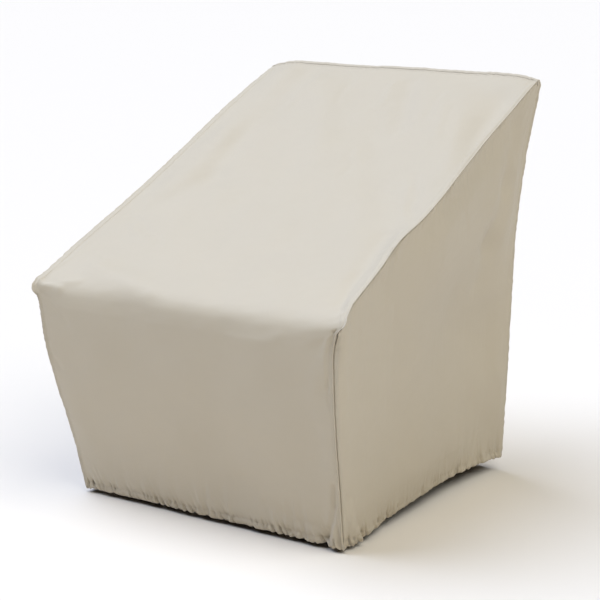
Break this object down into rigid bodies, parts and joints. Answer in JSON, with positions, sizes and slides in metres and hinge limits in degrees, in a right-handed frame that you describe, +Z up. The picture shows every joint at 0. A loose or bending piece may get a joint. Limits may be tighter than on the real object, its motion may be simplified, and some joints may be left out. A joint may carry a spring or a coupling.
{
  "type": "fitted chair cover",
  "caption": "Hollow fitted outdoor cover of beige coated cloth for a deep chair, sewn from a front-and-seat strip, side panels and a back panel, with a gathered elastic hem.",
  "frame": {"origin": "the spot under the middle of the top edge by which the cover is held up, on the inner face of the cloth", "axes": "+X towards the right-hand side as seen from the front, the short way across; -Y towards the front; +Z up"},
  "size_m": [0.7382, 0.8211, 0.8434],
  "materials": {
    "cover_cloth": "satin coated weave"
  },
  "bodies": {
    "root": {"seat_panel": "cover_cloth", "back_panel": "cover_cloth", "side_panel_right": "cover_cloth", "side_panel_left": "cover_cloth"}
  },
  "joints": []
}
